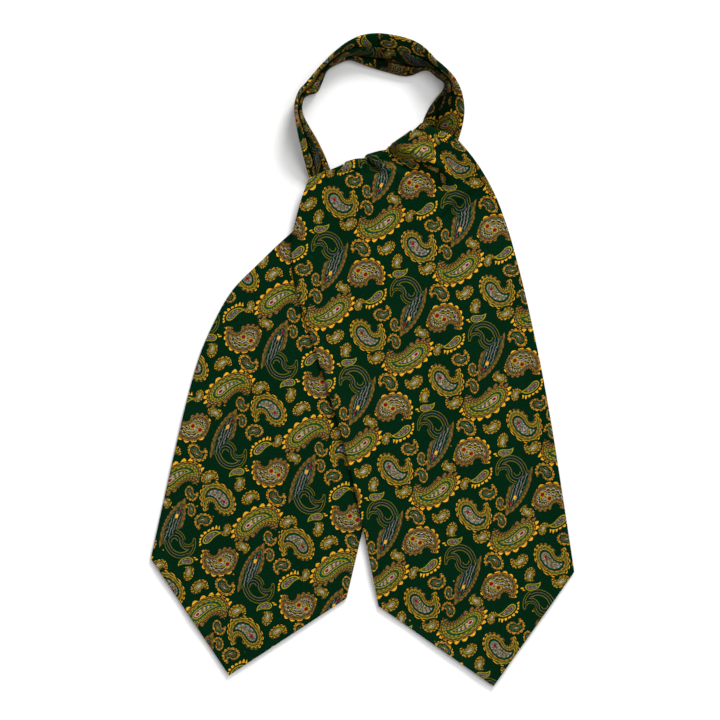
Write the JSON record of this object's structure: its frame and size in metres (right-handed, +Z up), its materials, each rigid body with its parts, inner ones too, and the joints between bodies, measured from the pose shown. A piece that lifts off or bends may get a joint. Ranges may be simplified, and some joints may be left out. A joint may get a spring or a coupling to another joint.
{
  "type": "silk cravat",
  "caption": "Silk day cravat laid flat: wide pointed blades under a pleated neck band that stands in a loop.",
  "frame": {"origin": "middle of the cravat's outline from above, on the surface it lies on", "axes": "+Y from the pointed ends towards the neck loop, +X towards the blade on top, +Z up"},
  "size_m": [0.3386, 0.5215, 0.0389],
  "materials": {
    "printed_silk": "printed silk twill with a soft sheen"
  },
  "bodies": {
    "root": {"left_blade_face": "printed_silk", "left_blade_back": "printed_silk", "right_blade_face": "printed_silk", "right_blade_back": "printed_silk", "neck_band_left": "printed_silk", "neck_band_right": "printed_silk", "crossing_wrap": "printed_silk"}
  },
  "joints": []
}
